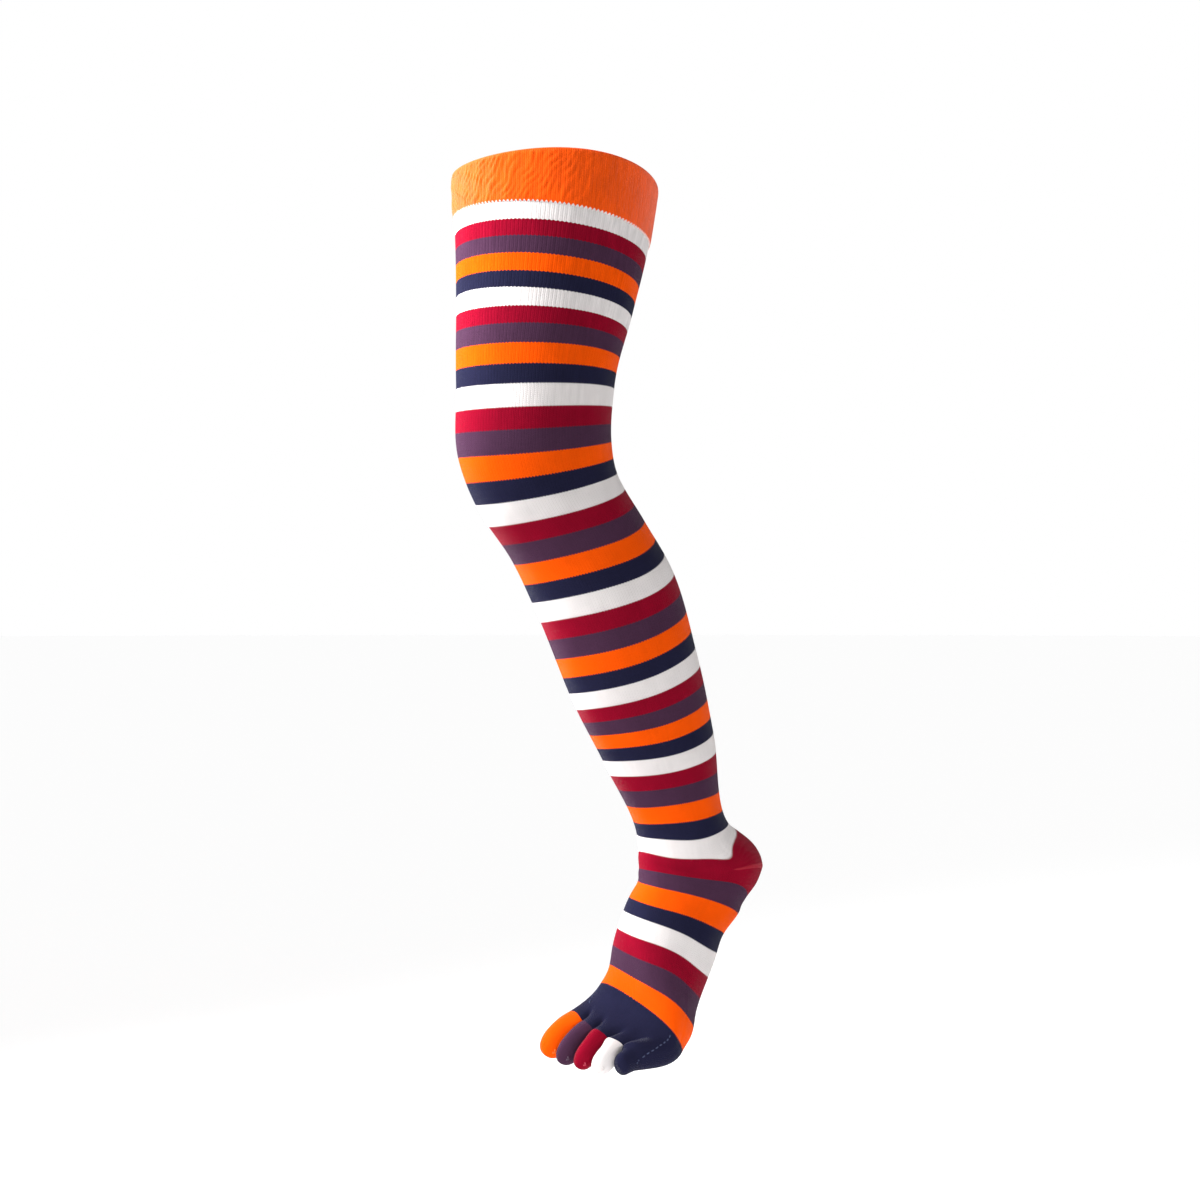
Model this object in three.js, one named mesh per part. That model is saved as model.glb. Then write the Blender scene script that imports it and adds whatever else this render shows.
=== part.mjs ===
import * as THREE from 'three';

// Over-the-knee toe sock for the left foot, in the form it has when it is worn:
// the knee slightly bent, the foot pointed, the toes spread. Ten knitted shells.
// Millimetres, +Z up, toes toward -Y, outer side of the leg toward +X.
// The origin is the middle of the leg opening at the top of the cuff.

// Driving sizes
const LEG_DROP = 540;       // leg opening down to the ankle
const THIGH_DEPTH = 170;    // front to back at the leg opening
const THIGH_WIDTH = 164;    // side to side at the leg opening
const KNEE_DEPTH = 128;
const KNEE_WIDTH = 116;
const CALF_DEPTH = 121;
const CALF_WIDTH = 106;
const ANKLE_DEPTH = 82;
const ANKLE_WIDTH = 66;
const HEEL_DEPTH = 116;     // instep to the back of the heel
const HEEL_WIDTH = 62;
const FOOT_LENGTH = 235;    // heel to the tip of the big toe
const BALL_WIDTH = 88;      // across the toe roots
const BALL_HEIGHT = 54;
const WALL = 1.6;           // single knit
const CUFF_WALL = 2.6;      // the welt is knitted double
const GAP = 0.3;            // between neighbouring pieces
const TOE_GAP = 0.6;        // between the toe box and the roots of the toes

// Knitting: courses counted from the leg opening down
const CUFF_COURSES = 36;
const HEEL_START = 454;
const HEEL_COURSES = 12;
const HEEL_END = HEEL_START + HEEL_COURSES;
const BALL_COURSE = 547;

// Mesh fineness
const COLUMNS = 36;         // three to the top and three to the sole of each toe, three a side
const COLUMN_ANGLE = 2 * Math.PI / COLUMNS;
const FIRST_ANGLE = -7.5 * COLUMN_ANGLE;
const TOE_COLUMNS = 12;
const TOE_COLUMN_ANGLE = 2 * Math.PI / TOE_COLUMNS;
const ROWS = { cuff: 4, leg: 22, heel: 8, foot: 10, toeBox: 5 };

// A table is a line of column names and one row of numbers for each section
function table(names, rows) {
  return rows.map((row) => Object.fromEntries(names.map((name, i) => [name, row[i]])));
}

// Sections of the leg. back and drop place the middle of a section, as shares of LEG_DROP.
// pitch lifts its back end, roll its outer side, in degrees. depth and width are full sizes.
const SECTION_COLUMNS = ['course', 'side', 'back', 'drop', 'pitch', 'roll', 'twist', 'depth', 'width',
  'square', 'sag'];
const LEG_SECTIONS = table(SECTION_COLUMNS, [
  [0, 0, 0, 0, -7, 5, 0, THIGH_DEPTH, THIGH_WIDTH, 2, 0],
  [36, 0, -0.004, 0.081, -10, 3, 0, 0.965 * THIGH_DEPTH, 0.98 * THIGH_WIDTH, 2, 0],
  [50, 0, -0.009, 0.107, -9, 3, 0, 0.925 * THIGH_DEPTH, 0.95 * THIGH_WIDTH, 2, 0],
  [94, 0, -0.02, 0.196, -7, 2, 0, 0.85 * THIGH_DEPTH, 0.87 * THIGH_WIDTH, 2, 0],
  [152, 0, -0.035, 0.318, 1, 0, 0, 1.015 * KNEE_DEPTH, 1.08 * KNEE_WIDTH, 2, 0],
  [188, 0, -0.035, 0.415, 8, -1, 0, KNEE_DEPTH, KNEE_WIDTH, 2, 0],
  [210, 0, -0.015, 0.472, 15, 0, 0, 0.94 * KNEE_DEPTH, 0.95 * KNEE_WIDTH, 2, 0],
  [239, 0, 0.038, 0.546, 17, 2, 0, 0.965 * CALF_DEPTH, 0.99 * CALF_WIDTH, 2, 0],
  [268, 0, 0.081, 0.616, 18, 4, 0, CALF_DEPTH, CALF_WIDTH, 2, 0],
  [326, 0, 0.139, 0.755, 21, 4, 0, 0.96 * CALF_DEPTH, 0.89 * CALF_WIDTH, 2, 0],
  [384, 0, 0.185, 0.872, 15, 2, 0, 1.22 * ANKLE_DEPTH, 1.18 * ANKLE_WIDTH, 2, 0],
  [442, 0, 0.228, 1, 9, -2, 0, ANKLE_DEPTH, ANKLE_WIDTH, 2, 0],
]);

// Sections of the foot, placed from the ankle in shares of FOOT_LENGTH. twist lowers the
// outer edge, sag lowers the sides of a ring under its front and back, as a share of HEEL_DEPTH.
const FOOT_SECTIONS = table(SECTION_COLUMNS, [
  [454, 0, 0.021, 0.038, 11, 0, 0, 0.78 * HEEL_DEPTH, 1.06 * HEEL_WIDTH, 2.1, 0.112],
  [457, 0, 0.055, 0.077, 4, 0, 0, 0.93 * HEEL_DEPTH, 1.03 * HEEL_WIDTH, 2.2, 0.086],
  [460, 0, 0.072, 0.119, -2, 0, 0, HEEL_DEPTH, HEEL_WIDTH, 2.2, 0.052],
  [463, 0, 0.06, 0.162, -8, 0, 1, 0.93 * HEEL_DEPTH, HEEL_WIDTH, 2.2, 0.017],
  [466, 0, 0.034, 0.196, -14, 0, 2, 0.83 * HEEL_DEPTH, 1.03 * HEEL_WIDTH, 2.2, 0],
  [476, 0, 0.013, 0.243, -19, -3, 3, 0.79 * HEEL_DEPTH, 1.06 * HEEL_WIDTH, 2.2, 0],
  [489, 0.009, -0.03, 0.306, -25, -5, 4, 0.76 * HEEL_DEPTH, 0.8 * BALL_WIDTH, 2.2, 0],
  [500, 0.017, -0.068, 0.37, -32, -4, 7, 1.66 * BALL_HEIGHT, 0.83 * BALL_WIDTH, 2.2, 0],
  [524, 0.026, -0.135, 0.515, -41, -2, 15, 1.62 * BALL_HEIGHT, 0.91 * BALL_WIDTH, 2.3, 0],
  [538, 0.021, -0.155, 0.608, -46, -1, 22, 1.46 * BALL_HEIGHT, 0.98 * BALL_WIDTH, 2.35, 0],
  [547, 0.014, -0.187, 0.66, -50, 0, 28, 1.12 * BALL_HEIGHT, 1.03 * BALL_WIDTH, 2.4, 0],
]);

const toRadians = THREE.MathUtils.degToRad;
const ANKLE = LEG_SECTIONS[LEG_SECTIONS.length - 1];
const ANKLE_BACK = ANKLE.back * LEG_DROP;

// Both tables brought to millimetres, in one frame
const SECTIONS = [
  ...LEG_SECTIONS.map((row) => ({
    ...row, side: row.side * LEG_DROP, back: row.back * LEG_DROP, drop: row.drop * LEG_DROP,
    sag: row.sag * HEEL_DEPTH,
  })),
  ...FOOT_SECTIONS.map((row) => ({
    ...row, side: row.side * FOOT_LENGTH, back: ANKLE_BACK + row.back * FOOT_LENGTH,
    drop: LEG_DROP + row.drop * FOOT_LENGTH, sag: row.sag * HEEL_DEPTH,
  })),
];

// Slope of one column at a section: the parabola through it and its two neighbours
function slopeAt(index, name) {
  const rate = (a, b) => (SECTIONS[b][name] - SECTIONS[a][name]) / (SECTIONS[b].course - SECTIONS[a].course);
  const last = SECTIONS.length - 1;
  if (index === 0) return rate(0, 1);
  if (index === last) return rate(last - 1, last);
  const before = SECTIONS[index].course - SECTIONS[index - 1].course;
  const after = SECTIONS[index + 1].course - SECTIONS[index].course;
  return (rate(index - 1, index) * after + rate(index, index + 1) * before) / (before + after);
}

// The section at any course, smooth through the rows of the table
function sectionAt(course) {
  let i = 0;
  while (i < SECTIONS.length - 2 && SECTIONS[i + 1].course <= course) i += 1;
  const span = SECTIONS[i + 1].course - SECTIONS[i].course;
  const t = (course - SECTIONS[i].course) / span;
  const section = {};
  for (const name of SECTION_COLUMNS) {
    section[name] = (2 * t ** 3 - 3 * t ** 2 + 1) * SECTIONS[i][name]
      + (t ** 3 - 2 * t ** 2 + t) * span * slopeAt(i, name)
      + (3 * t ** 2 - 2 * t ** 3) * SECTIONS[i + 1][name]
      + (t ** 3 - t ** 2) * span * slopeAt(i + 1, name);
  }
  return section;
}

// Power of a sine or cosine that squares an ellipse off, sign kept
function squared(value, square) {
  return Math.sign(value) * Math.abs(value) ** (2 / square);
}

// Axes of a section: back runs front to back, out to the outer side, up along the tube
function sectionAxes(section) {
  const pitch = toRadians(section.pitch);
  const level = new THREE.Vector3(0, Math.cos(pitch), Math.sin(pitch));
  const out = new THREE.Vector3(1, 0, 0);
  const up = out.clone().cross(level);
  out.applyAxisAngle(level, -toRadians(section.roll));
  up.applyAxisAngle(level, -toRadians(section.roll));
  const twist = -toRadians(section.twist);
  return { back: level.applyAxisAngle(up, -twist), out: out.applyAxisAngle(up, -twist), up };
}

// One point of the knitted tube: course down the tube, angle from the front to the outer side
function tubePoint(course, angle) {
  const section = sectionAt(course);
  const { back, out, up } = sectionAxes(section);
  return new THREE.Vector3(section.side, section.back, -section.drop)
    .addScaledVector(back, -section.depth / 2 * squared(Math.cos(angle), section.square))
    .addScaledVector(out, section.width / 2 * squared(Math.sin(angle), section.square))
    .addScaledVector(up, -section.sag * Math.sin(angle) ** 2);
}

// Outward normal of the tube there, from points a step along and a turn round on both sides
const STEP = 0.5;
const TURN = 0.05;
function tubeNormal(course, angle) {
  const down = tubePoint(course + STEP, angle).sub(tubePoint(course - STEP, angle));
  const round = tubePoint(course, angle + TURN).sub(tubePoint(course, angle - TURN));
  return down.cross(round).normalize();
}

// A ring of the tube, raised from its surface, and pulled down the tube by a length in mm
function tubeRing(course, raise = 0, pull = 0) {
  const ring = [];
  for (let j = 0; j < COLUMNS; j += 1) {
    const angle = FIRST_ANGLE + j * COLUMN_ANGLE;
    const normal = tubeNormal(course, angle);
    const round = tubePoint(course, angle + TURN).sub(tubePoint(course, angle - TURN));
    const down = round.cross(normal).normalize();
    ring.push(tubePoint(course, angle).addScaledVector(down, pull).addScaledVector(normal, raise));
  }
  return ring;
}

// A closed mesh put together from vectors
class Body {
  constructor() {
    this.positions = [];
    this.triangles = [];
  }

  add(point) {
    this.positions.push(point.x, point.y, point.z);
    return this.positions.length / 3 - 1;
  }

  addRing(ring) {
    return ring.map((point) => this.add(point));
  }

  // Corners anticlockwise as seen from outside
  quad(a, b, c, d) {
    this.triangles.push(a, b, c, a, c, d);
  }

  // Band between two closed rings; its outside is on the right when the second lies ahead
  band(first, second) {
    for (let j = 0; j < first.length; j += 1) {
      const k = (j + 1) % first.length;
      this.quad(first[j], second[j], second[k], first[k]);
    }
  }

  fan(ring, tip) {
    for (let j = 0; j < ring.length; j += 1) {
      this.triangles.push(ring[j], tip, ring[(j + 1) % ring.length]);
    }
  }

  mesh(name, color, roughness) {
    const geometry = new THREE.BufferGeometry();
    geometry.setAttribute('position', new THREE.Float32BufferAttribute(this.positions, 3));
    geometry.setIndex(this.triangles);
    geometry.computeVertexNormals();
    const mesh = new THREE.Mesh(geometry, new THREE.MeshStandardMaterial({ color, roughness, metalness: 0 }));
    mesh.name = name;
    return mesh;
  }
}

// Rings of a stretch of tube from one course to another, half a gap short at both ends
function stretch(from, to, rows, raise) {
  const rings = [];
  for (let i = 0; i <= rows; i += 1) {
    const pull = i === 0 && from > 0 ? GAP / 2 : i === rows ? -GAP / 2 : 0;
    rings.push(tubeRing(from + (to - from) * i / rows, raise, pull));
  }
  return rings;
}

// Knitted tube, open at both ends, its inner face a wall below its outer one
function knittedTube(name, color, from, to, rows, wall, roughness) {
  const body = new Body();
  const outer = stretch(from, to, rows, wall - WALL).map((ring) => body.addRing(ring));
  const inner = stretch(from, to, rows, -WALL).map((ring) => body.addRing(ring));
  for (let i = 0; i < rows; i += 1) {
    body.band(outer[i], outer[i + 1]);
    body.band(inner[i + 1], inner[i]);
  }
  body.band(inner[0], outer[0]);
  body.band(outer[rows], inner[rows]);
  return body.mesh(name, color, roughness);
}

// Toe frame: ahead runs from the ball to the toes, out to the little toe, over to the instep
const TOE_YAW = toRadians(10);
const TOE_PITCH = toRadians(20);
const TOE_TWIST = toRadians(16);
const TOE_FRAME = (() => {
  const ahead = new THREE.Vector3(0, -1, 0);
  const out = new THREE.Vector3(1, 0, 0);
  const over = new THREE.Vector3(0, 0, 1);
  const turn = (axis, angle) => [ahead, out, over].forEach((v) => v.applyAxisAngle(axis, angle));
  turn(new THREE.Vector3(0, 0, 1), TOE_YAW);
  turn(out.clone(), TOE_PITCH);
  turn(ahead.clone(), -TOE_TWIST);
  return { ahead, out, over };
})();
const BALL = SECTIONS[SECTIONS.length - 1];
const BALL_CENTRE = new THREE.Vector3(BALL.side - 0.017 * FOOT_LENGTH, BALL.back, -BALL.drop);

// Toes, from the big one outward. The root and the tip are the middle of the toe where it
// leaves the box and where its end is rounded; side is a share of BALL_WIDTH, ahead of
// FOOT_LENGTH, rise of BALL_HEIGHT. width is a share of BALL_WIDTH, both heights of BALL_HEIGHT.
const TOES = table(['rootSide', 'rootAhead', 'rootRise', 'rootHeight', 'tipSide', 'tipAhead', 'tipRise',
  'width', 'height'], [
  [-0.352, 0.183, 0.1, 0.42, -0.398, 0.277, -0.12, 0.268, 0.43],
  [-0.136, 0.213, 0.13, 0.36, -0.155, 0.298, -0.12, 0.182, 0.33],
  [0.042, 0.213, 0.15, 0.36, 0.032, 0.281, -0.14, 0.172, 0.32],
  [0.207, 0.193, 0.165, 0.36, 0.212, 0.262, -0.12, 0.166, 0.33],
  [0.38, 0.152, -0.07, 0.44, 0.388, 0.218, -0.08, 0.17, 0.34],
]);
const TOE_LOOKS = [
  { name: 'big_toe', color: 0xff7a0a },
  { name: 'second_toe', color: 0x5e466b },
  { name: 'third_toe', color: 0xc01c36 },
  { name: 'fourth_toe', color: 0xe6e2dc },
  { name: 'little_toe', color: 0x1f2c4c },
];

// Rounding of a toe beyond its root: share of its length against share of its section
const TOE_PROFILE = table(['along', 'size'], [
  [0, 1], [0.25, 1], [0.5, 1.01], [0.72, 0.98], [0.86, 0.86], [0.95, 0.62], [0.99, 0.32],
]);
const ROOT_BLEND = 0.3;     // share of a toe's length over which the web dies out
const TOE_CURL = 0.4;       // share of its length that a toe runs straight ahead before it curls

// Point of the toe frame, in shares
function toeFramePoint(side, ahead, rise) {
  return BALL_CENTRE.clone()
    .addScaledVector(TOE_FRAME.out, side * BALL_WIDTH)
    .addScaledVector(TOE_FRAME.ahead, ahead * FOOT_LENGTH)
    .addScaledVector(TOE_FRAME.over, rise * BALL_HEIGHT);
}

// Centre line and section of a toe. The last part of its length is the rounded end.
function toeCore(toe) {
  const root = toeFramePoint(toe.rootSide, toe.rootAhead, toe.rootRise);
  const bend = toeFramePoint(toe.tipSide, toe.tipAhead, toe.tipRise);
  const tip = bend.clone().add(bend.clone().sub(root).setLength(toe.width * BALL_WIDTH / 2));
  const reach = tip.distanceTo(root);
  const knuckle = root.clone().addScaledVector(TOE_FRAME.ahead, TOE_CURL * reach);
  const line = new THREE.QuadraticBezierCurve3(root, knuckle, tip);
  return {
    line,
    halfWidth: toe.width * BALL_WIDTH / 2,
    rootHeight: toe.rootHeight * BALL_HEIGHT,
    height: toe.height * BALL_HEIGHT,
  };
}

const TOE_CORES = TOES.map(toeCore);

// Offset of column k of a toe from its centre line, at a share of its length
function toeOffset(core, k, along, size, inset) {
  const angle = (k - 1.5) * TOE_COLUMN_ANGLE;
  const ahead = core.line.getTangent(along);
  const out = TOE_FRAME.out.clone().addScaledVector(ahead, -TOE_FRAME.out.dot(ahead)).normalize();
  const over = ahead.clone().cross(out);
  const height = THREE.MathUtils.lerp(core.rootHeight, core.height, Math.min(1, along / TOE_CURL));
  return out.multiplyScalar((core.halfWidth * size - inset) * Math.sin(angle))
    .addScaledVector(over, (height / 2 * size - inset) * Math.cos(angle));
}

// Columns that a toe shares with the next one outward, as pairs, top to sole
const WEB_PAIRS = [[3, 0], [4, 11], [5, 10], [6, 9]];

// Root ring of each toe. Where two toes meet both rings run through the middle of the web.
const ROOT_RINGS = TOE_CORES.map((core) => {
  const ring = [];
  for (let k = 0; k < TOE_COLUMNS; k += 1) {
    ring.push(core.line.getPoint(0).add(toeOffset(core, k, 0, 1, 0)));
  }
  return ring;
});
for (let i = 0; i + 1 < ROOT_RINGS.length; i += 1) {
  for (const [own, next] of WEB_PAIRS) {
    const middle = ROOT_RINGS[i][own].clone().lerp(ROOT_RINGS[i + 1][next], 0.5);
    ROOT_RINGS[i][own] = middle;
    ROOT_RINGS[i + 1][next] = middle;
  }
}

// Toe and column of that toe which each column of the foot runs into
function toeOfColumn(j) {
  const last = TOES.length - 1;
  if (j < 3 * (last + 1)) return [Math.floor(j / 3), j % 3];
  if (j < 3 * (last + 1) + 3) return [last, j - 3 * last];
  if (j < 33) return [last - Math.floor((j - 18) / 3), 6 + (j - 18) % 3];
  return [0, j - 24];
}

// Rows of the toe box, a curve for each column from the ball ring to the toe roots
function toeBoxRows(raise, ringPoint) {
  const start = tubeRing(BALL_COURSE, raise, GAP / 2);
  const before = tubeRing(BALL_COURSE - 1, raise, GAP / 2);
  const rows = [];
  for (let i = 0; i < ROWS.toeBox; i += 1) {
    const t = i / ROWS.toeBox;
    rows.push(start.map((point, j) => {
      const [toe, k] = toeOfColumn(j);
      const end = ringPoint(toe, k);
      const span = point.distanceTo(end);
      const leave = point.clone().sub(before[j]).setLength(span);
      const arrive = TOE_FRAME.ahead.clone().multiplyScalar(span);
      return point.clone().multiplyScalar(2 * t ** 3 - 3 * t ** 2 + 1)
        .addScaledVector(leave, t ** 3 - 2 * t ** 2 + t)
        .addScaledVector(end, 3 * t ** 2 - 2 * t ** 3)
        .addScaledVector(arrive, t ** 3 - t ** 2);
    }));
  }
  return rows;
}

// Whether column k of a toe runs along a web, which the toe shares with a neighbour
function isWebColumn(toe, k) {
  return (toe + 1 < TOES.length && WEB_PAIRS.some(([own]) => own === k))
    || (toe > 0 && WEB_PAIRS.some(([, next]) => next === k));
}

// Root ring of a toe taken in toward its own centre line and moved ahead, less so at a web
function rootRingInset(toe, inset, advance, webAdvance = advance) {
  const centre = TOE_CORES[toe].line.getPoint(0);
  const ahead = TOE_CORES[toe].line.getTangent(0);
  return ROOT_RINGS[toe].map((point, k) => {
    const inward = centre.clone().sub(point);
    inward.addScaledVector(ahead, -inward.dot(ahead)).setLength(inset);
    return point.clone().add(inward).addScaledVector(ahead, isWebColumn(toe, k) ? webAdvance : advance);
  });
}

// The end of the foot that splits into five: one outer skin whose toe openings share the webs,
// one inner skin whose openings lie a wall inside them, and a lip in each opening
function toeBox(color, roughness) {
  const body = new Body();
  const outerRows = toeBoxRows(0, (toe, k) => ROOT_RINGS[toe][k]).map((row) => body.addRing(row));
  const innerRoots = TOES.map((_, toe) => rootRingInset(toe, WALL, 0, -WALL));
  const innerRows = toeBoxRows(-WALL, (toe, k) => innerRoots[toe][k]).map((row) => body.addRing(row));

  const outerIds = [];
  ROOT_RINGS.forEach((ring, toe) => {
    outerIds.push(ring.map((point, k) => {
      const web = WEB_PAIRS.find(([, next]) => next === k);
      return toe > 0 && web ? outerIds[toe - 1][web[0]] : body.add(point);
    }));
  });
  const innerIds = innerRoots.map((ring) => body.addRing(ring));

  for (let i = 0; i + 1 < ROWS.toeBox; i += 1) {
    body.band(outerRows[i], outerRows[i + 1]);
    body.band(innerRows[i + 1], innerRows[i]);
  }
  body.band(innerRows[0], outerRows[0]);

  const outerLast = outerRows[ROWS.toeBox - 1];
  const innerLast = innerRows[ROWS.toeBox - 1];
  for (let j = 0; j < COLUMNS; j += 1) {
    const next = (j + 1) % COLUMNS;
    const [toe, k] = toeOfColumn(j);
    const after = (k + 1) % TOE_COLUMNS;
    body.quad(outerLast[j], outerIds[toe][k], outerIds[toe][after], outerLast[next]);
    body.quad(innerLast[next], innerIds[toe][after], innerIds[toe][k], innerLast[j]);
  }
  for (let toe = 0; toe < TOES.length; toe += 1) {
    body.band(outerIds[toe], innerIds[toe]);
    if (toe + 1 < TOES.length) {
      const near = WEB_PAIRS.map(([own]) => innerIds[toe][own]);
      const far = WEB_PAIRS.map(([, next]) => innerIds[toe + 1][next]);
      for (let i = 0; i < 3; i += 1) body.quad(near[i], far[i], far[i + 1], near[i + 1]);
      body.triangles.push(innerLast[3 * (toe + 1)], far[0], near[0]);
      body.triangles.push(innerLast[COLUMNS - 3 - 3 * (toe + 1)], near[3], far[3]);
    }
  }
  return body.mesh('toe_box', color, roughness);
}

// One skin of a toe: its root ring, then rings that follow the profile
function toeSkin(toe, inset) {
  const core = TOE_CORES[toe];
  const rings = [rootRingInset(toe, inset + GAP / 2, TOE_GAP)];
  for (const { along, size } of TOE_PROFILE.slice(1)) {
    const web = Math.max(0, 1 - along / ROOT_BLEND);
    const centre = core.line.getPoint(along);
    rings.push(ROOT_RINGS[toe].map((rootPoint, k) => {
      const free = core.line.getPoint(0).add(toeOffset(core, k, 0, 1, 0));
      const pinch = rootPoint.clone().sub(free).multiplyScalar(web);
      return centre.clone().add(toeOffset(core, k, along, size, inset + GAP / 2)).add(pinch);
    }));
  }
  return rings;
}

// A toe: a knitted finger, open at its root
function knittedToe(toe, name, color, roughness) {
  const body = new Body();
  const outer = toeSkin(toe, 0).map((ring) => body.addRing(ring));
  const innerSkin = toeSkin(toe, WALL).slice(0, -1);
  const inner = innerSkin.map((ring) => body.addRing(ring));
  for (let i = 0; i + 1 < outer.length; i += 1) body.band(outer[i], outer[i + 1]);
  for (let i = 0; i + 1 < inner.length; i += 1) body.band(inner[i + 1], inner[i]);
  body.band(inner[0], outer[0]);
  const core = TOE_CORES[toe];
  const tip = core.line.getPoint(1);
  body.fan(outer[outer.length - 1], body.add(tip));
  const innerTip = body.add(tip.clone().addScaledVector(core.line.getTangent(1), -WALL));
  const last = inner[inner.length - 1];
  body.fan([...last].reverse(), innerTip);
  return body.mesh(name, color, roughness);
}

const ORANGE = 0xff7a0a;
const CRIMSON = 0xb41d35;
const NAVY = 0x1f2c4c;
const KNIT_ROUGHNESS = 0.9;

const group = new THREE.Group();
group.add(
  knittedTube('cuff', ORANGE, 0, CUFF_COURSES, ROWS.cuff, CUFF_WALL, KNIT_ROUGHNESS),
  knittedTube('leg', CRIMSON, CUFF_COURSES, HEEL_START, ROWS.leg, WALL, KNIT_ROUGHNESS),
  knittedTube('heel', CRIMSON, HEEL_START, HEEL_END, ROWS.heel, WALL, KNIT_ROUGHNESS),
  knittedTube('foot', ORANGE, HEEL_END, BALL_COURSE, ROWS.foot, WALL, KNIT_ROUGHNESS),
  toeBox(NAVY, KNIT_ROUGHNESS),
  ...TOE_LOOKS.map(({ name, color }, toe) => knittedToe(toe, name, color, KNIT_ROUGHNESS)),
);

export default group;
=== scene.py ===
import math

import bpy
import numpy as np
from mathutils import Matrix, Vector


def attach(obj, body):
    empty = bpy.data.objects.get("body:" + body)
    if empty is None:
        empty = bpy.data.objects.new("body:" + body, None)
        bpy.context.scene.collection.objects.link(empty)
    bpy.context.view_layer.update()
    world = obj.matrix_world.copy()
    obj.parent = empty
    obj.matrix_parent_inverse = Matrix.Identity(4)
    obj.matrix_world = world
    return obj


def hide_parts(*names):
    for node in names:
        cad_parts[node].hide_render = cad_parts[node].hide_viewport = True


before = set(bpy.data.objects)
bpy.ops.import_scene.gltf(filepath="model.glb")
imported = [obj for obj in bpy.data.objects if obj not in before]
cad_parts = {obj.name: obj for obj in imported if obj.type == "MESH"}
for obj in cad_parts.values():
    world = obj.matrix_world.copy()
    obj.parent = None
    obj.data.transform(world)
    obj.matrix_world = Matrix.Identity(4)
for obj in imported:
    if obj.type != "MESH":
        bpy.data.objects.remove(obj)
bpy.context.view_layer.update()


# The picture. A level camera looks at the sock from its outer front side, 1.9 m away,
# so that the whole length from the welt to the toes fills a square frame.
VIEW_DISTANCE = 1.9
VIEW_HEADING = math.radians(60)
LOOK_AT = Vector((0.0, 0.042, -0.345))
METRES_PER_PIXEL = 0.00083      # in a 1200 pixel frame, at the distance of the sock
IMAGE_WIDTH = 1200
SENSOR_WIDTH = 36.0
FARTHEST_SEEN = 100.0

camera_data = bpy.data.cameras.new("picture_camera")
camera = bpy.data.objects.new("picture_camera", camera_data)
bpy.context.scene.collection.objects.link(camera)
camera.location = LOOK_AT + VIEW_DISTANCE * Vector(
    (math.sin(VIEW_HEADING), -math.cos(VIEW_HEADING), 0.0))
camera.rotation_euler = (math.radians(90), 0.0, VIEW_HEADING)
camera_data.sensor_width = SENSOR_WIDTH
camera_data.lens = SENSOR_WIDTH * VIEW_DISTANCE / (METRES_PER_PIXEL * IMAGE_WIDTH)
camera_data.clip_end = FARTHEST_SEEN
bpy.context.scene.camera = camera
bpy.context.scene.view_settings.view_transform = "Standard"


# The studio. A white floor below the toes and soft white light all round, brighter from the
# upper left. Two lamps with grids light its top from the left, and a weak one the foot.
FLOOR_HEIGHT = -0.83
FLOOR_RADIUS = 30.0
FLOOR_SIDES = 36
FLOOR_WHITE = (0.97, 0.97, 0.97, 1.0)
FLOOR_GLOW = 0.2
ROOM_LIGHT = 0.55
ROOM_SLOPE = 0.85               # how much brighter the room is on its light side
LIGHT_LEFT = 0.6                # which way that side lies
LIGHT_UP = 0.8
BACKDROP_LIGHT = 1.0
# Place and target of each lamp in metres to the right of the middle of the picture, nearer
# than it and over it, then width and height, watts, and the angle that its grid leaves
LAMPS = {
    "left_softbox": ((-1.05, 0.32, 0.95), (0, 0, 0.42), (0.7, 0.9), 10.5, math.radians(66)),
    "rim_softbox": ((-1.4, -0.55, 0.75), (0, 0, 0.35), (0.5, 1.0), 14.0, math.radians(66)),
    "foot_softbox": ((-0.5, 0.9, -0.05), (0.03, 0, -0.37), (0.4, 0.4), 0.38, math.radians(40)),
}

floor_mesh = bpy.data.meshes.new("studio_floor")
floor_corners = []
for step in range(FLOOR_SIDES):
    turn = 2 * math.pi * step / FLOOR_SIDES
    floor_corners.append(
        (FLOOR_RADIUS * math.cos(turn), FLOOR_RADIUS * math.sin(turn), FLOOR_HEIGHT))
floor_mesh.from_pydata(floor_corners, [], [tuple(range(FLOOR_SIDES))])
floor = bpy.data.objects.new("studio_floor", floor_mesh)
bpy.context.scene.collection.objects.link(floor)
floor_white = bpy.data.materials.new("studio_white")
floor_white.use_nodes = True
floor_shader = floor_white.node_tree.nodes["Principled BSDF"]
floor_shader.inputs["Base Color"].default_value = FLOOR_WHITE
floor_shader.inputs["Roughness"].default_value = 1.0
floor_shader.inputs["Specular IOR Level"].default_value = 0.0
floor_shader.inputs["Emission Color"].default_value = (1.0, 1.0, 1.0, 1.0)
floor_shader.inputs["Emission Strength"].default_value = FLOOR_GLOW
floor_mesh.materials.append(floor_white)

PICTURE_RIGHT = Vector((math.cos(VIEW_HEADING), math.sin(VIEW_HEADING), 0.0))
PICTURE_NEAR = (camera.location - LOOK_AT).normalized()
LIGHT_SIDE = (-LIGHT_LEFT * PICTURE_RIGHT + Vector((0, 0, LIGHT_UP))).normalized()

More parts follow.
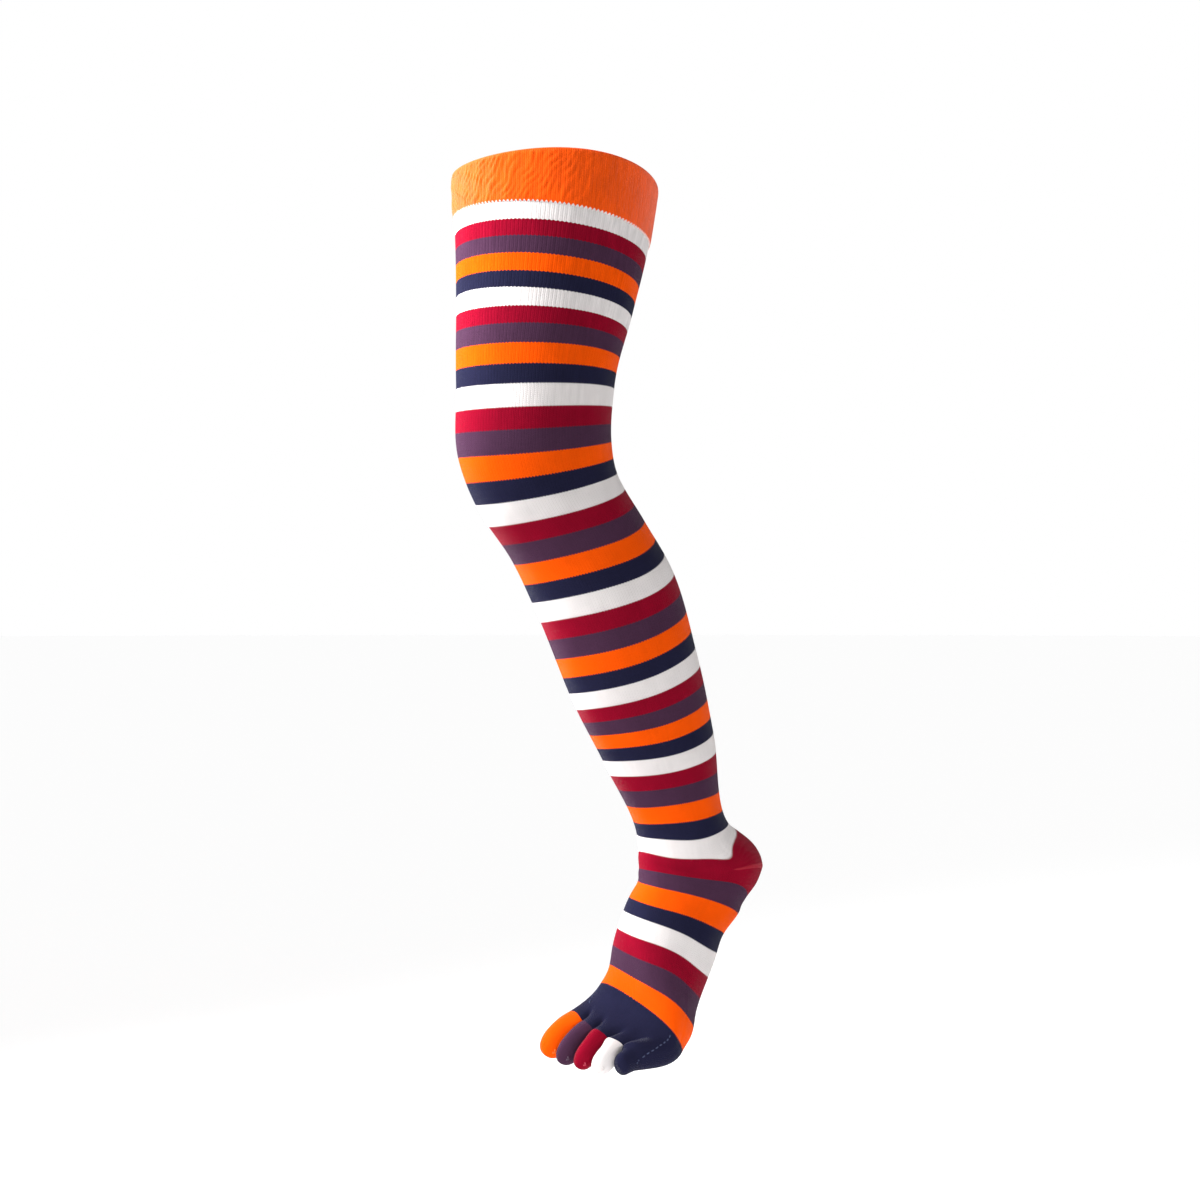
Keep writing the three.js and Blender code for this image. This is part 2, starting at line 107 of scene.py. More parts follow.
room = bpy.data.worlds.new("studio_room")
room.use_nodes = True
room_tree = room.node_tree
background = room_tree.nodes["Background"]
direction = room_tree.nodes.new("ShaderNodeTexCoord")
toward_light = room_tree.nodes.new("ShaderNodeVectorMath")
toward_light.operation = "DOT_PRODUCT"
toward_light.inputs[1].default_value = LIGHT_SIDE
room_tree.links.new(direction.outputs["Generated"], toward_light.inputs[0])
slope = room_tree.nodes.new("ShaderNodeMath")
slope.operation = "MULTIPLY_ADD"
slope.inputs[1].default_value = ROOM_LIGHT * ROOM_SLOPE
slope.inputs[2].default_value = ROOM_LIGHT
room_tree.links.new(toward_light.outputs["Value"], slope.inputs[0])
not_dark = room_tree.nodes.new("ShaderNodeMath")
not_dark.operation = "MAXIMUM"
room_tree.links.new(slope.outputs[0], not_dark.inputs[0])
not_dark.inputs[1].default_value = 0.0
seen = room_tree.nodes.new("ShaderNodeLightPath")
backdrop = room_tree.nodes.new("ShaderNodeMix")
backdrop.inputs[3].default_value = BACKDROP_LIGHT
room_tree.links.new(seen.outputs["Is Camera Ray"], backdrop.inputs[0])
room_tree.links.new(not_dark.outputs[0], backdrop.inputs[2])
room_tree.links.new(backdrop.outputs[0], background.inputs["Strength"])
background.inputs["Color"].default_value = (1.0, 1.0, 1.0, 1.0)
bpy.context.scene.world = room


def from_middle(right, near, up):
    """A point given from the middle of the picture."""
    return LOOK_AT + right * PICTURE_RIGHT + near * PICTURE_NEAR + Vector((0, 0, up))


for lamp_name, (place, target, size, power, grid) in LAMPS.items():
    lamp_data = bpy.data.lights.new(lamp_name, "AREA")
    lamp_data.shape = "RECTANGLE"
    lamp_data.size, lamp_data.size_y = size
    lamp_data.energy = power
    lamp_data.spread = grid
    lamp = bpy.data.objects.new(lamp_name, lamp_data)
    bpy.context.scene.collection.objects.link(lamp)
    lamp.location = from_middle(*place)
    aim = from_middle(*target) - lamp.location
    lamp.rotation_euler = aim.to_track_quat("-Z", "Y").to_euler()


# Cuff. The welt at the top of the sock: orange cotton knitted double round an elastic
# thread and folded over, so its upper edge is round and it is thicker than the leg below.
LEG_DROP = 0.540
THIGH_DEPTH = 0.170
THIGH_WIDTH = 0.164
KNEE_DEPTH = 0.128
KNEE_WIDTH = 0.116
CALF_DEPTH = 0.121
CALF_WIDTH = 0.106
ANKLE_DEPTH = 0.082
ANKLE_WIDTH = 0.066
HEEL_DEPTH = 0.116
HEEL_WIDTH = 0.062
FOOT_LENGTH = 0.235
BALL_WIDTH = 0.088
BALL_HEIGHT = 0.054
KNIT_WALL = 0.0016
CUFF_WALL = 0.0026

# Sections down the leg and the foot, at knitted courses counted from the leg opening. back
# and drop are shares of the leg's drop down to the ankle, and of the foot's length after it.
SECTION_NAMES = [
    "course", "side", "back", "drop", "pitch", "roll", "twist", "depth", "width", "square", "sag"]
LEG_SECTIONS = [
    [0, 0, 0, 0, -7, 5, 0, THIGH_DEPTH, THIGH_WIDTH, 2, 0],
    [36, 0, -0.007, 0.081, -10, 3, 0, 0.945 * THIGH_DEPTH, 0.98 * THIGH_WIDTH, 2, 0],
    [50, 0, -0.009, 0.107, -9, 3, 0, 0.925 * THIGH_DEPTH, 0.95 * THIGH_WIDTH, 2, 0],
    [94, 0, -0.02, 0.196, -7, 2, 0, 0.85 * THIGH_DEPTH, 0.87 * THIGH_WIDTH, 2, 0],
    [152, 0, -0.035, 0.318, 1, 0, 0, 1.015 * KNEE_DEPTH, 1.08 * KNEE_WIDTH, 2, 0],
    [188, 0, -0.035, 0.415, 8, -1, 0, KNEE_DEPTH, KNEE_WIDTH, 2, 0],
    [210, 0, -0.015, 0.472, 15, 0, 0, 0.94 * KNEE_DEPTH, 0.95 * KNEE_WIDTH, 2, 0],
    [239, 0, 0.038, 0.546, 17, 2, 0, 0.965 * CALF_DEPTH, 0.99 * CALF_WIDTH, 2, 0],
    [268, 0, 0.081, 0.616, 18, 4, 0, CALF_DEPTH, CALF_WIDTH, 2, 0],
    [326, 0, 0.139, 0.755, 21, 4, 0, 0.96 * CALF_DEPTH, 0.89 * CALF_WIDTH, 2, 0],
    [384, 0, 0.185, 0.872, 15, 2, 0, 1.22 * ANKLE_DEPTH, 1.18 * ANKLE_WIDTH, 2, 0],
    [442, 0, 0.228, 1, 9, -2, 0, ANKLE_DEPTH, ANKLE_WIDTH, 2, 0],
]
FOOT_SECTIONS = [
    [454, 0, 0.021, 0.038, 11, 0, 0, 0.78 * HEEL_DEPTH, 1.06 * HEEL_WIDTH, 2.1, 0.112],
    [457, 0, 0.0595, 0.077, 4, 0, 0, 0.93 * HEEL_DEPTH, 1.03 * HEEL_WIDTH, 2.2, 0.086],
    [460, 0, 0.077, 0.119, -2, 0, 0, HEEL_DEPTH, HEEL_WIDTH, 2.2, 0.052],
    [463, 0, 0.068, 0.162, -8, 0, 1, 0.97 * HEEL_DEPTH, HEEL_WIDTH, 2.2, 0.017],
    [466, 0, 0.0445, 0.196, -14, 0, 2, 0.895 * HEEL_DEPTH, 1.03 * HEEL_WIDTH, 2.2, 0],
    [476, 0, 0.0235, 0.243, -19, -3, 3, 0.832 * HEEL_DEPTH, 1.06 * HEEL_WIDTH, 2.2, 0],
    [489, 0.009, -0.034, 0.306, -25, -5, 4, 0.765 * HEEL_DEPTH, 0.8 * BALL_WIDTH, 2.2, 0],
    [500, 0.017, -0.068, 0.37, -32, -4, 7, 1.7 * BALL_HEIGHT, 0.83 * BALL_WIDTH, 2.2, 0],
    [524, 0.026, -0.135, 0.515, -41, -2, 15, 1.62 * BALL_HEIGHT, 0.91 * BALL_WIDTH, 2.3, 0],
    [538, 0.021, -0.155, 0.608, -46, -1, 22, 1.46 * BALL_HEIGHT, 0.99 * BALL_WIDTH, 2.4, 0],
    [547, 0.014, -0.187, 0.66, -50, 0, 28, 1.12 * BALL_HEIGHT, 1.05 * BALL_WIDTH, 2.55, 0],
]
CUFF_COURSES = 36
HEEL_START = 454
HEEL_END = 466
BALL_COURSE = 547
WALES = 144                     # ribs of stitches round the tube
STEPS_PER_WALE = 4              # mesh columns to a wale
FRONT_SEAM = math.radians(-75)  # where the count of wales starts, on the inner side

# Courses don't run level round a worn sock: each row is a course, and how many courses
# farther down the tube it lies at the front, at the sides and at the back
COURSE_SLANT = np.array([
    [0, 6.4, -0.2, 5],
    [36, 1.5, -0.5, 2],
    [58, 2.2, 0.5, 4],
    [94, 0.8, 0.2, 3.5],
    [112, 1.6, -0.8, 3.5],
    [145, 1.6, 1.3, 2.5],
    [186, 0, 1.2, 0],
    [210, -0.8, 0.8, 0],
    [240, -2.4, -1.2, -6],
    [268, -2.8, 0, -8],
    [302, -4, 0.6, -4],
    [326, -5, 0.2, -3],
    [360, -5, 1.3, -2],
    [396, -4, 1.6, -2],
    [424, -3, 3.4, -2],
    [442, -2.4, 2.2, 0],
    [454, -0.5, -0.2, 0],
    [466, -2.5, -2.7, 1],
    [477, 0.8, -3, 1],
    [489, 3, -2, -1],
    [500, 4, -2, -4],
    [521, 4.4, -2.6, -5],
    [535, 3.2, -0.6, -1],
    [547, 0, 0, 0],
])

ANKLE_BACK = LEG_SECTIONS[-1][2] * LEG_DROP
section_rows = []
for table, length, back_before, drop_before in (
        (LEG_SECTIONS, LEG_DROP, 0, 0), (FOOT_SECTIONS, FOOT_LENGTH, ANKLE_BACK, LEG_DROP)):
    for course, side, back, drop, *turns_and_sizes, sag in table:
        section_rows.append([course, side * length, back_before + back * length,
                             drop_before + drop * length, *turns_and_sizes, sag * HEEL_DEPTH])
SECTION_TABLE = np.array(section_rows)

# Where the short rows of the heel start, the course over it turns a corner at each side
CORNER_COURSE = 454
CORNER_REACH = 4.5              # courses either way
CORNER_ANGLE = math.radians(105)
CORNER_SPREAD = math.radians(14)
CORNER_SLANT = 2.2
DIP_ANGLE = math.radians(66)
DIP_SPREAD = math.radians(22)
DIP_SLANT = -0.8


def section_slopes():
    """Slope of every column at every section: the parabola through it and its neighbours."""
    course = SECTION_TABLE[:, 0]
    rate = np.diff(SECTION_TABLE, axis=0) / np.diff(course)[:, None]
    slopes = np.empty_like(SECTION_TABLE)
    slopes[0], slopes[-1] = rate[0], rate[-1]
    before, after = np.diff(course)[:-1, None], np.diff(course)[1:, None]
    slopes[1:-1] = (rate[:-1] * after + rate[1:] * before) / (before + after)
    return slopes


SECTION_SLOPES = section_slopes()


def section_at(course):
    """The values of the section table at an array of courses, smooth through its rows."""
    starts = SECTION_TABLE[:, 0]
    i = np.clip(np.searchsorted(starts, course, side="right") - 1, 0, len(starts) - 2)
    span = (starts[i + 1] - starts[i])[..., None]
    t = (course - starts[i])[..., None] / span
    values = ((2 * t ** 3 - 3 * t ** 2 + 1) * SECTION_TABLE[i]
              + (t ** 3 - 2 * t ** 2 + t) * span * SECTION_SLOPES[i]
              + (3 * t ** 2 - 2 * t ** 3) * SECTION_TABLE[i + 1]
              + (t ** 3 - t ** 2) * span * SECTION_SLOPES[i + 1])
    return {name: values[..., n] for n, name in enumerate(SECTION_NAMES)}


def tube_point(course, angle):
    """Points of the knitted tube at arrays of courses and of angles from the front outward."""
    s = section_at(course)
    pitch, roll, twist = (np.radians(s[name]) for name in ("pitch", "roll", "twist"))
    zero = np.zeros_like(pitch)
    level = np.stack([zero, np.cos(pitch), np.sin(pitch)], -1)
    flat_up = np.stack([zero, -np.sin(pitch), np.cos(pitch)], -1)
    across = np.array([1.0, 0.0, 0.0])
    out = across * np.cos(roll)[..., None] + flat_up * np.sin(roll)[..., None]
    up = flat_up * np.cos(roll)[..., None] - across * np.sin(roll)[..., None]
    back = level * np.cos(twist)[..., None] - out * np.sin(twist)[..., None]
    out = out * np.cos(twist)[..., None] + level * np.sin(twist)[..., None]
    power = 2 / s["square"]
    front_share = np.sign(np.cos(angle)) * np.abs(np.cos(angle)) ** power
    outer_share = np.sign(np.sin(angle)) * np.abs(np.sin(angle)) ** power
    centre = np.stack([s["side"], s["back"], -s["drop"]], -1)
    return (centre
            - back * (s["depth"] / 2 * front_share)[..., None]
            + out * (s["width"] / 2 * outer_share)[..., None]
            - up * (s["sag"] * np.sin(angle) ** 2)[..., None])


def slanted(course, angle):
    """Where on the tube a course lies at an angle round it."""
    front, side, back = (
        np.interp(course, COURSE_SLANT[:, 0], COURSE_SLANT[:, n]) for n in (1, 2, 3))
    end = np.where(np.cos(angle) > 0, front, back)
    to_side = np.arccos(np.clip(np.cos(angle), -1, 1))
    corner = (CORNER_SLANT * np.exp(-((to_side - CORNER_ANGLE) / CORNER_SPREAD) ** 2)
              + DIP_SLANT * np.exp(-((to_side - DIP_ANGLE) / DIP_SPREAD) ** 2))
    near_it = np.exp(-((course - CORNER_COURSE) / CORNER_REACH) ** 2)
    return course + side + (end - side) * np.cos(angle) ** 2 + corner * near_it


def tube_surface(course, angle, lift):
    """The tube's surface at a knitted course, lifted along its outward normal."""
    half_course, small_turn = 0.5, 0.05
    course = slanted(course, angle)
    down = tube_point(course + half_course, angle) - tube_point(course - half_course, angle)
    round_it = tube_point(course, angle + small_turn) - tube_point(course, angle - small_turn)
    normal = np.cross(down, round_it)
    normal /= np.linalg.norm(normal, axis=-1, keepdims=True)
    return tube_point(course, angle) + normal * lift[..., None]


RIB_BLUNTNESS = 0.7             # 1 would be half a wave, less is flatter on top


def wale_ridge(wale):
    """Height of the rib of stitches at a count of wales, from 0 in a furrow to 1 on its back."""
    return np.abs(np.sin(np.pi * wale)) ** RIB_BLUNTNESS


RIM_ANGLE = math.radians(55)    # edges sharper than this aren't shaded smooth


def new_piece(name, vertices, faces, knit_uv, skins, materials, nodes):
    """A piece of the sock, with its count of wales and courses as UV, riding on the root."""
    mesh = bpy.data.meshes.new(name)
    mesh.from_pydata(vertices, [], faces)
    layer = mesh.uv_layers.new(name="Knit")
    layer.data.foreach_set("uv", np.asarray(knit_uv, np.float32).ravel())
    for material in materials:
        mesh.materials.append(material)
    mesh.polygons.foreach_set("material_index", np.asarray(skins, np.int32))
    mesh.polygons.foreach_set("use_smooth", np.ones(len(faces), bool))
    mesh.set_sharp_from_angle(angle=RIM_ANGLE)
    mesh.validate()
    piece = bpy.data.objects.new(name, mesh)
    bpy.context.scene.collection.objects.link(piece)
    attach(piece, "root")
    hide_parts(*nodes)
    return piece


def ring_faces(first, second, columns):
    """Quads between two closed rings of vertices, from the number of each one's first."""
    j = np.arange(columns)
    k = (j + 1) % columns
    return np.stack([first + j, second + j, second + k, first + k], -1)


def ring_uv(first_course, second_course, columns):
    """Counts of wales and courses at the corners of those quads."""
    left = np.arange(columns) * WALES / columns
    right = left + WALES / columns
    first, second = np.full(columns, first_course), np.full(columns, second_course)
    corners = [(left, first), (left, second), (right, second), (right, first)]
    return np.stack([np.stack(corner, -1) for corner in corners], 1)


def knitted_loop(name, rings, ring_courses, ring_skins, materials, nodes):
    """A shell whose rings run down its outside and up its inside, and close on themselves."""
    columns = len(rings[0])
    vertices = np.concatenate(rings)
    faces, knit_uv, skins = [], [], []
    for i, skin in enumerate(ring_skins):
        following = (i + 1) % len(rings)
        faces.append(ring_faces(i * columns, following * columns, columns))
        knit_uv.append(ring_uv(ring_courses[i], ring_courses[following], columns))
        skins += [skin] * columns
    return new_piece(name, vertices.tolist(), np.concatenate(faces).tolist(),
                     np.concatenate(knit_uv), skins, materials, nodes)


def node(tree, kind, settings=None, **links):
    """A shader node with its settings, and its inputs linked or set by name."""
    made = tree.nodes.new(kind)
    for key, value in (settings or {}).items():
        setattr(made, key, value)
    for key, value in links.items():
        numbered = key[0] == "n" and key[1:].isdigit()
        socket = made.inputs[int(key[1:]) if numbered else key]
        if isinstance(value, bpy.types.NodeSocket):
            tree.links.new(value, socket)
        else:
            socket.default_value = value
    return made


def reckon(tree, operation, first, second=None):
    """A Math node, with values or sockets as operands."""
    links = {"n0": first} if second is None else {"n0": first, "n1": second}
    return node(tree, "ShaderNodeMath", {"operation": operation}, **links).outputs[0]


def blended(tree, share, first, second):
    """Two colours mixed by a share."""
    mix = node(tree, "ShaderNodeMix", {"data_type": "RGBA"})
    tree.links.new(share, mix.inputs[0])
    for socket, value in ((mix.inputs[6], first), (mix.inputs[7], second)):
        if isinstance(value, bpy.types.NodeSocket):
            tree.links.new(value, socket)
        else:
            socket.default_value = value
    return mix.outputs[2]


# Yarns, as linear colours
ORANGE_YARN = (0.80, 0.080, 0.0024, 1.0)
CRIMSON_YARN = (0.215, 0.0035, 0.0165, 1.0)
PURPLE_YARN = (0.054, 0.0225, 0.047, 1.0)
NAVY_YARN = (0.0130, 0.0132, 0.034, 1.0)
WHITE_YARN = (0.67, 0.635, 0.63, 1.0)
STRIPES = [(0, WHITE_YARN), (12, CRIMSON_YARN), (23, PURPLE_YARN), (35, ORANGE_YARN),
           (47, NAVY_YARN)]      # the course where each starts, from the edge of the welt
STRIPE_REPEAT = 58
STITCH_LEAN = 0.75              # how far the arms of a stitch climb from its foot, in courses
PURL_LEAN = 0.12                # the same on the reverse, where the loops lie across
STITCH_RELIEF = 0.0005
RELIEF_SHARE = 0.6
TOOTH_LENGTH = 1.9              # in courses, where the welt's last stitches grip the white
FIBRE_SCALE = 2600.0            # to a metre: loose fibres and the twist of the yarn
CLOUD_SCALE = 45.0              # to a metre: uneven dye
STREAK_WALES = 0.8              # how fast the streaks change across the wales
STREAK_COURSES = 0.045          # and along them
STREAK_TOP, STREAK_TOP_COURSE = 0.44, 60.0      # they are strong at the thigh
STREAK_LOW, STREAK_LOW_COURSE = 0.12, 200.0     # and faint below the knee
FABRIC_ROUGHNESS = 0.85


def knit_fabric(name, yarn, purl=False, sheen=0.14, sheen_roughness=0.2, teeth=None):
    """Plain knit: arms of V stitches in ribs. yarn is one colour, or the list of stripes;
    teeth is the course from which the next yarn, white, shows between the stitches."""
    fabric = bpy.data.materials.new(name)
    fabric.use_nodes = True
    tree = fabric.node_tree
    shader = tree.nodes["Principled BSDF"]
    count = node(tree, "ShaderNodeUVMap", {"uv_map": "Knit"}).outputs[0]
    split = node(tree, "ShaderNodeSeparateXYZ", Vector=count)
    wale, course = split.outputs[0], split.outputs[1]

    # The two arms of a stitch lean from its foot in the middle of the wale to its edges
    in_wale = reckon(tree, "SUBTRACT", reckon(tree, "FRACT", wale), 0.5)
    across = reckon(tree, "MULTIPLY", reckon(tree, "ABSOLUTE", in_wale), 2.0)
    lean = PURL_LEAN if purl else STITCH_LEAN
    phase = reckon(tree, "ADD", course, reckon(tree, "MULTIPLY", across, lean))
    twice = reckon(tree, "MULTIPLY", reckon(tree, "FRACT", phase), 2.0)
    along = reckon(tree, "SUBTRACT", twice, 1.0)
    along_squared = reckon(tree, "MULTIPLY", along, along)
    strand = reckon(tree, "SQRT", reckon(tree, "SUBTRACT", 1.0, along_squared))
    from_arm = reckon(tree, "SUBTRACT", reckon(tree, "MULTIPLY", across, 2.0), 1.0)
    arm_fall = reckon(tree, "MULTIPLY", reckon(tree, "MULTIPLY", from_arm, from_arm), 0.6)
    stitch = reckon(tree, "MULTIPLY", strand, reckon(tree, "SUBTRACT", 1.0, arm_fall))

    # Twist of the yarn and loose fibres
    place = node(tree, "ShaderNodeTexCoord").outputs["Object"]
    fibre = node(tree, "ShaderNodeTexNoise", {"noise_dimensions": "3D"}, Vector=place,
                 Scale=FIBRE_SCALE, Detail=3.0, Roughness=0.7).outputs["Fac"]
    cloud = node(tree, "ShaderNodeTexNoise", {"noise_dimensions": "3D"}, Vector=place,
                 Scale=CLOUD_SCALE, Detail=3.0, Roughness=0.6).outputs["Fac"]
    height = reckon(tree, "ADD", stitch, reckon(tree, "MULTIPLY", fibre, 0.5))
    bump = node(tree, "ShaderNodeBump", None, Strength=RELIEF_SHARE, Distance=STITCH_RELIEF,
                Height=height)
    tree.links.new(bump.outputs[0], shader.inputs["Normal"])

    if isinstance(yarn, list):
        number = reckon(tree, "ADD", reckon(tree, "FLOOR", phase), 0.5 - CUFF_COURSES)
        within = reckon(tree, "FLOORED_MODULO", number, float(STRIPE_REPEAT))
        ramp = node(tree, "ShaderNodeValToRGB")
        ramp.color_ramp.interpolation = "CONSTANT"
        stops = ramp.color_ramp.elements
        for n, (start, colour) in enumerate(yarn):
            stop = stops[n] if n < len(stops) else stops.new(start / STRIPE_REPEAT)
            stop.position = start / STRIPE_REPEAT
            stop.color = colour
        tree.links.new(reckon(tree, "DIVIDE", within, float(STRIPE_REPEAT)), ramp.inputs[0])
        colour = ramp.outputs[0]
    else:
        colour = node(tree, "ShaderNodeRGB")
        colour.outputs[0].default_value = yarn
        colour = colour.outputs[0]
    if teeth is not None:
        reach = reckon(tree, "ADD", course, reckon(tree, "MULTIPLY", across, TOOTH_LENGTH))
        past_edge = reckon(tree, "GREATER_THAN", reach, float(teeth))
        colour = blended(tree, past_edge, colour, WHITE_YARN)
    # Painted shade: the colour is darker in the furrows between the strands of each stitch and
    # lighter on their backs
    shade = reckon(tree, "ADD", reckon(tree, "MULTIPLY", stitch, 0.28), 0.78)
    mottle = reckon(tree, "ADD", reckon(tree, "MULTIPLY", cloud, 0.24), 0.88)
    fleck = reckon(tree, "ADD", reckon(tree, "MULTIPLY", fibre, 0.3), 0.85)
    # Wales that lie closer or wider, which makes faint streaks down the cloth
    streak_place = node(tree, "ShaderNodeCombineXYZ",
                        X=reckon(tree, "MULTIPLY", wale, STREAK_WALES),
                        Y=reckon(tree, "MULTIPLY", course, STREAK_COURSES))
    streak = node(tree, "ShaderNodeTexNoise", {"noise_dimensions": "2D"},
                  Vector=streak_place.outputs[0], Scale=1.0, Detail=2.0, Roughness=0.6)
    off_mean = reckon(tree, "SUBTRACT", streak.outputs["Fac"], 0.5)
    stretch = node(tree, "ShaderNodeMapRange", None, Value=course, n1=STREAK_TOP_COURSE,
                   n2=STREAK_LOW_COURSE, n3=STREAK_TOP, n4=STREAK_LOW)
    uneven = reckon(tree, "ADD", reckon(tree, "MULTIPLY", off_mean, stretch.outputs[0]), 1.0)
    tone = reckon(tree, "MULTIPLY", reckon(tree, "MULTIPLY", shade, mottle),
                  reckon(tree, "MULTIPLY", fleck, uneven))
    toned = node(tree, "ShaderNodeVectorMath", {"operation": "SCALE"}, Vector=colour, Scale=tone)
    tree.links.new(toned.outputs[0], shader.inputs["Base Color"])
    shader.inputs["Roughness"].default_value = FABRIC_ROUGHNESS
    shader.inputs["Specular IOR Level"].default_value = 0.0
    shader.inputs["Sheen Weight"].default_value = sheen
    shader.inputs["Sheen Roughness"].default_value = sheen_roughness
    return fabric


welt_knit = knit_fabric("welt_knit", ORANGE_YARN, sheen=0.3, sheen_roughness=0.42,
                        teeth=CUFF_COURSES)
orange_reverse = knit_fabric("orange_reverse", ORANGE_YARN, purl=True)

CUFF_RIDGE = 0.00025            # height of the ribs of stitches
CRINKLE_HEIGHT = 0.0011         # of the slanting folds, where the welt is stretched least
CRINKLES_PER_WALE = 0.55
CRINKLE_LEAN = 0.21             # wales to a course
CRINKLE_SIDE = math.radians(14) # where they are strongest, from the front outward
CRINKLE_FALL = 1.5              # how fast they die out round the welt
CUFF_ROWS = 40
CUFF_REVERSE_COURSES = (36, 24, 12, 3)
FOLD_STEPS = 5
FOLD_RISE = 0.9                 # of the folded edge over the first course, in courses
TUCK_COURSES = 0.9              # over which the welt's lower edge turns in
columns = WALES * STEPS_PER_WALE
cuff_angle = FRONT_SEAM + np.arange(columns) * 2 * math.pi / columns
cuff_wale = np.arange(columns) * WALES / columns


def welt_lift(course):
    """Height of the ribs and slanting crinkles of the welt above its smooth face at one course."""
    down = np.full(columns, course)
    wobble = (0.3 * np.sin(0.16 * down + 0.31 * cuff_wale)
              + 0.25 * np.sin(0.17 * down - 0.73 * cuff_wale + 1.1))
    crinkle = wale_ridge(CRINKLES_PER_WALE * (cuff_wale + CRINKLE_LEAN * down) + wobble)
    swell = 0.5 + 0.5 * (np.sin(0.45 * cuff_wale + 0.24 * down + 0.6)
                         * np.sin(0.97 * cuff_wale - 0.14 * down + 0.4))
    side = (0.5 + 0.5 * np.cos(cuff_angle - CRINKLE_SIDE)) ** CRINKLE_FALL
    edge = np.clip(np.minimum(course / 1.5, (CUFF_COURSES - course) / 4), 0, 1)
    return edge * (CUFF_RIDGE * wale_ridge(cuff_wale) + CRINKLE_HEIGHT * swell * side * crinkle)


cuff_rings, cuff_ring_courses, cuff_skins = [], [], []
proud = CUFF_WALL - KNIT_WALL
for i in range(FOLD_STEPS + 1):
    turn = math.pi * i / (FOLD_STEPS + 1)
    lift = (proud - KNIT_WALL) / 2 + (proud + KNIT_WALL) / 2 * -math.cos(turn)
    rise = FOLD_RISE * math.sin(turn)
    ring = tube_surface(np.full(columns, -rise), cuff_angle, np.full(columns, lift))
    cuff_rings.append(ring)
    cuff_ring_courses.append(-rise)
    cuff_skins.append(0)
for i in range(CUFF_ROWS + 1):
    course = CUFF_COURSES * i / CUFF_ROWS
    tuck = proud * min(1.0, (CUFF_COURSES - course) / TUCK_COURSES)
    lift = tuck + welt_lift(course)
    cuff_rings.append(tube_surface(np.full(columns, course), cuff_angle, lift))
    cuff_ring_courses.append(course)
    cuff_skins.append(0)
for course in CUFF_REVERSE_COURSES:
    cuff_rings.append(tube_surface(np.full(columns, float(course)), cuff_angle,
                                   np.full(columns, -KNIT_WALL)))
    cuff_ring_courses.append(course)
    cuff_skins.append(1)
cuff_skins[FOLD_STEPS + 1 + CUFF_ROWS] = 1
knitted_loop("sock_cuff", cuff_rings, cuff_ring_courses, cuff_skins, [welt_knit, orange_reverse],
             ["cuff"])


# Leg. One tube of plain knit from the welt to the ankle, wide at the thigh and slightly bent
# at the knee. Each stripe is a change of yarn, so its edge follows the stitches.
striped_knit = knit_fabric("striped_knit", STRIPES)
striped_reverse = knit_fabric("striped_reverse", STRIPES, purl=True)
LEG_RIDGE = 0.00022             # height of the ribs of stitches at the thigh
LEG_ROWS = 134


def leg_ridge(down):
    """The ribs lie flatter farther down the leg, where the knit is stretched less."""
    return LEG_RIDGE * np.clip(1.15 - down / 520, 0.3, 1)


def knitted_tube(name, start, end, rows, ridge_at, materials, nodes, band_at=None,
                 band_rise=0.0):
    """A stretch of the tube: ribbed outside, plain inside with a quarter of the columns. A
    raised band has the third of its materials."""
    inner_columns = WALES
    courses = np.linspace(start, end, rows + 1)
    wale = np.arange(columns) * WALES / columns
    angle = FRONT_SEAM + wale * 2 * math.pi / WALES
    down, turn = np.meshgrid(courses, angle, indexing="ij")
    band = np.zeros_like(down) if band_at is None else band_at(down, turn)
    lift = ridge_at(down) * wale_ridge(np.broadcast_to(wale, down.shape)) + band_rise * band
    outer = tube_surface(down, turn, lift)
    inner_courses = courses[::2] if rows % 2 == 0 else courses
    inner_down, inner_turn = np.meshgrid(inner_courses, angle[::STEPS_PER_WALE], indexing="ij")
    inner = tube_surface(inner_down, inner_turn, np.full(inner_down.shape, -KNIT_WALL))
    vertices = np.concatenate([outer.reshape(-1, 3), inner.reshape(-1, 3)])
    faces, knit_uv, skins = [], [], []
    for i in range(rows):
        faces += ring_faces(i * columns, (i + 1) * columns, columns).tolist()
        knit_uv.append(ring_uv(courses[i], courses[i + 1], columns).reshape(-1, 2))
        skins += np.where(band[i] + band[i + 1] > 1.0, 2, 0).tolist()
    first_inner = outer.shape[0] * columns
    for i in range(len(inner_courses) - 1):
        upper, lower = first_inner + i * inner_columns, first_inner + (i + 1) * inner_columns
        faces += ring_faces(lower, upper, inner_columns).tolist()
        counts = ring_uv(inner_courses[i + 1], inner_courses[i], inner_columns)
        knit_uv.append(counts.reshape(-1, 2))
        skins += [1] * inner_columns
    for outer_start, inner_start, course, flip in (
            (0, first_inner, start, False),
            (rows * columns, first_inner + (len(inner_courses) - 1) * inner_columns, end, True)):
        for j in range(inner_columns):
            steps = range(STEPS_PER_WALE + 1)
            edge = [outer_start + (STEPS_PER_WALE * j + n) % columns for n in steps]
            rim = [inner_start + j, *edge, inner_start + (j + 1) % inner_columns]
            counts = [(j, course), *((j + n / STEPS_PER_WALE, course) for n in steps),
                      (j + 1, course)]
            if flip:
                rim, counts = rim[::-1], counts[::-1]
            faces.append(rim)
            knit_uv.append(np.array(counts, float))
            skins.append(1)
    return new_piece(name, vertices.tolist(), faces, np.concatenate(knit_uv), skins,
                     materials, nodes)


knitted_tube("sock_leg", CUFF_COURSES, HEEL_START, LEG_ROWS, leg_ridge,
             [striped_knit, striped_reverse], ["leg"])


